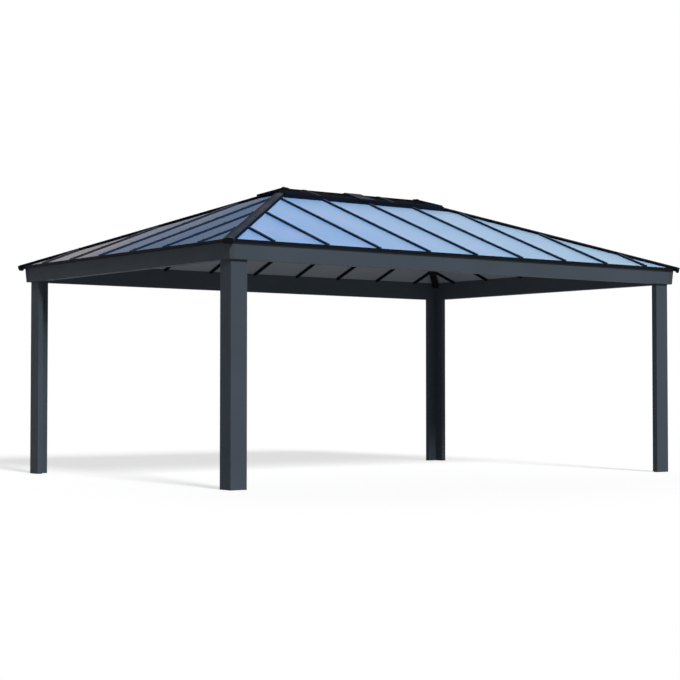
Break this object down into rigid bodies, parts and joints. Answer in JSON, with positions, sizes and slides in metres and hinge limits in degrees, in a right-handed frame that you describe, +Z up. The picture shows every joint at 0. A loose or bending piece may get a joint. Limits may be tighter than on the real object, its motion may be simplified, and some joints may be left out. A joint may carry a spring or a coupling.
{
  "type": "metal gazebo",
  "caption": "Open metal gazebo with L-section corner posts, a mitred beam ring and a hip roof of flat sheet panels with batten seams and a ridge cover.",
  "frame": {"origin": "on the ground under the centre of the roof", "axes": "+X along the long side, +Y towards the back long side, +Z up"},
  "size_m": [6.1814, 4.2914, 3.1229],
  "materials": {
    "frame": "satin dark slate powder coat",
    "trim": "satin black powder coat",
    "roof_panel": "smooth coated sheet, light blue outside and grey underneath",
    "cap": "satin dark brown-grey coated sheet",
    "seam": "satin dark navy coated sheet"
  },
  "bodies": {
    "root": {"post_front_left": "frame", "post_front_right": "frame", "post_back_left": "frame", "post_back_right": "frame", "beam_front": "frame", "beam_right": "frame", "beam_back": "frame", "beam_left": "frame", "eave_rail_front": "frame", "eave_rail_right": "frame", "eave_rail_back": "frame", "eave_rail_left": "frame", "eave_trim": "trim", "corner_trim_front_left": "frame", "corner_trim_front_right": "frame", "corner_trim_back_left": "frame", "corner_trim_back_right": "frame", "hip_rafter_front_left": "trim", "hip_rafter_front_right": "trim", "hip_rafter_back_left": "trim", "hip_rafter_back_right": "trim", "ridge_beam": "trim", "rafters_front": "trim", "rafters_right": "trim", "rafters_back": "trim", "rafters_left": "trim", "panels_front": "roof_panel", "panels_right": "roof_panel", "panels_back": "roof_panel", "panels_left": "roof_panel", "battens_front": "seam", "battens_right": "seam", "battens_back": "seam", "battens_left": "seam", "hip_cap_front_left": "cap", "hip_cap_front_right": "cap", "hip_cap_back_left": "cap", "hip_cap_back_right": "cap", "hip_end_front_left": "trim", "hip_end_front_right": "trim", "hip_end_back_left": "trim", "hip_end_back_right": "trim", "ridge_cover": "cap"}
  },
  "joints": []
}
